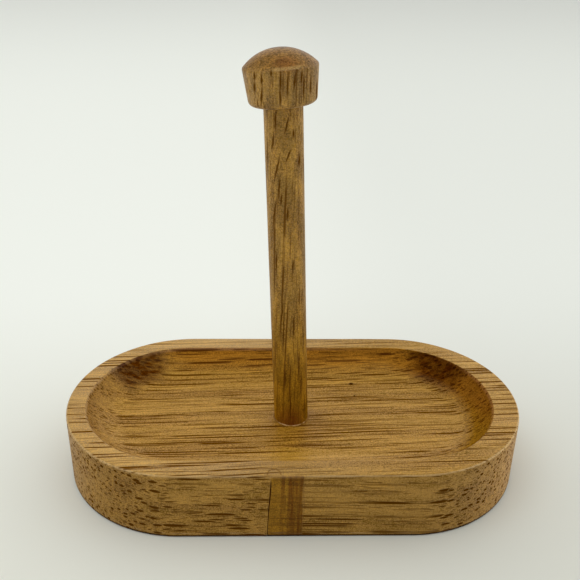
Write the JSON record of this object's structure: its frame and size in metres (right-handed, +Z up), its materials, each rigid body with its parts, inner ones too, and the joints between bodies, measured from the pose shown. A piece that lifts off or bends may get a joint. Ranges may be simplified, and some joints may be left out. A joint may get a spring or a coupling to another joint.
{
  "type": "ring holder",
  "caption": "Oblong wooden tray with a coved dish, an upright dowel post and a turned knob, for keeping finger rings on a vanity or washstand.",
  "frame": {"origin": "centre of the tray's underside", "axes": "+X along the tray, -Y towards its front, +Z up along the post"},
  "size_m": [0.12, 0.063, 0.1108],
  "materials": {
    "tray_wood": "oiled, open pores",
    "post_wood": "oiled, satin",
    "knob_wood": "oiled, open pores",
    "dried_glue": "clear yellowish glue"
  },
  "bodies": {
    "root": {"tray": "tray_wood", "post": "post_wood", "knob": "knob_wood", "glue_bead": "dried_glue"}
  },
  "joints": []
}
